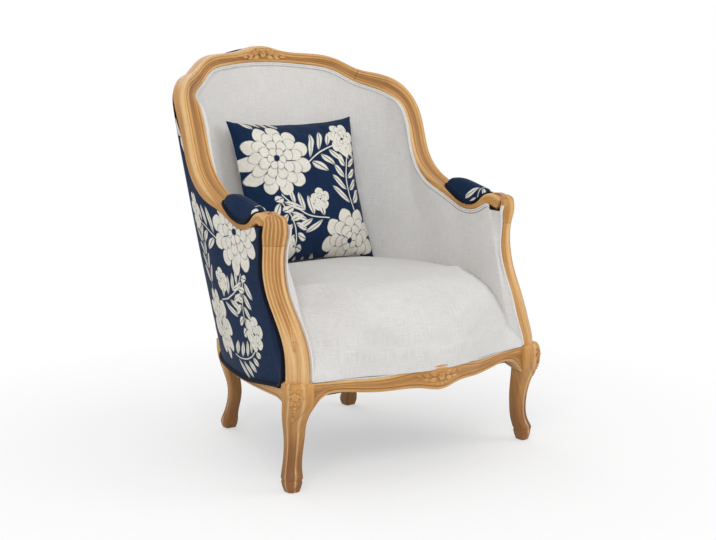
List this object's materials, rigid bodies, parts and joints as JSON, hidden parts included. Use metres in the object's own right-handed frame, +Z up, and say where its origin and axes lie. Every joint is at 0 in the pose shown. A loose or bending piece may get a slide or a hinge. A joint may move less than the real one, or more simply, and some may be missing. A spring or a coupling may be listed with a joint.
{
  "type": "bergere chair",
  "caption": "Upholstered armchair with a carved wooden show frame on cabriole legs, a barrel back, padded arms, a tight domed seat and a loose square scatter pillow",
  "frame": {"origin": "at floor level, in the middle of the chair's outer box", "axes": "+Z up, +Y towards the back of the chair, +X towards the sitter's left-hand arm"},
  "size_m": [0.758, 0.811, 1],
  "materials": {
    "show_wood": "satin",
    "frame_wood": "raw",
    "spring_steel": "satin",
    "glide_steel": "satin",
    "jute": "matte",
    "upholstery_foam": "matte",
    "pillow_fill": "matte",
    "linen": "matte",
    "linen_welt": "matte",
    "printed_cotton": "matte",
    "navy_piping": "matte",
    "dust_cloth": "matte"
  },
  "bodies": {
    "chair": {"arm_left": "show_wood", "arm_pad_cover_left": "printed_cotton", "arm_pad_cover_right": "printed_cotton", "arm_pad_foam_left": "upholstery_foam", "arm_pad_foam_right": "upholstery_foam", "arm_pad_piping_left": "navy_piping", "arm_pad_piping_right": "navy_piping", "arm_post_left": "show_wood", "arm_post_right": "show_wood", "arm_right": "show_wood", "arm_stay_rail_left": "frame_wood", "arm_stay_rail_right": "frame_wood", "back_foam": "upholstery_foam", "back_hessian": "jute", "back_stay_rail": "frame_wood", "back_stile_left": "frame_wood", "back_stile_right": "frame_wood", "back_webbing_upright": "jute", "corner_block_front_left": "frame_wood", "corner_block_front_right": "frame_wood", "corner_block_rear_left": "frame_wood", "corner_block_rear_right": "frame_wood", "corner_block_screws": "spring_steel", "crest_rail": "show_wood", "dust_cover": "dust_cloth", "foot_glides": "glide_steel", "frame_dowels": "frame_wood", "front_leg_left": "show_wood", "front_leg_right": "show_wood", "front_rail": "show_wood", "inside_cover": "linen", "inside_welt": "linen_welt", "outside_cover": "printed_cotton", "outside_piping": "navy_piping", "rear_leg_left": "show_wood", "rear_leg_right": "show_wood", "rear_rail": "frame_wood", "seat_cover": "linen", "seat_foam": "upholstery_foam", "seat_hessian": "jute", "seat_springs": "spring_steel", "seat_welt": "linen_welt", "side_rail_left": "show_wood", "side_rail_right": "show_wood", "spring_clips": "spring_steel", "wing_rail_left": "show_wood", "wing_rail_right": "show_wood"},
    "pillow": {"pillow_back": "linen", "pillow_filling": "pillow_fill", "pillow_front": "printed_cotton"}
  },
  "joints": [
    {"name": "pillow_lift", "type": "slide", "parent": "chair", "child": "pillow", "axis": [0, 0, 1], "range_m": [0, 0.45]}
  ]
}
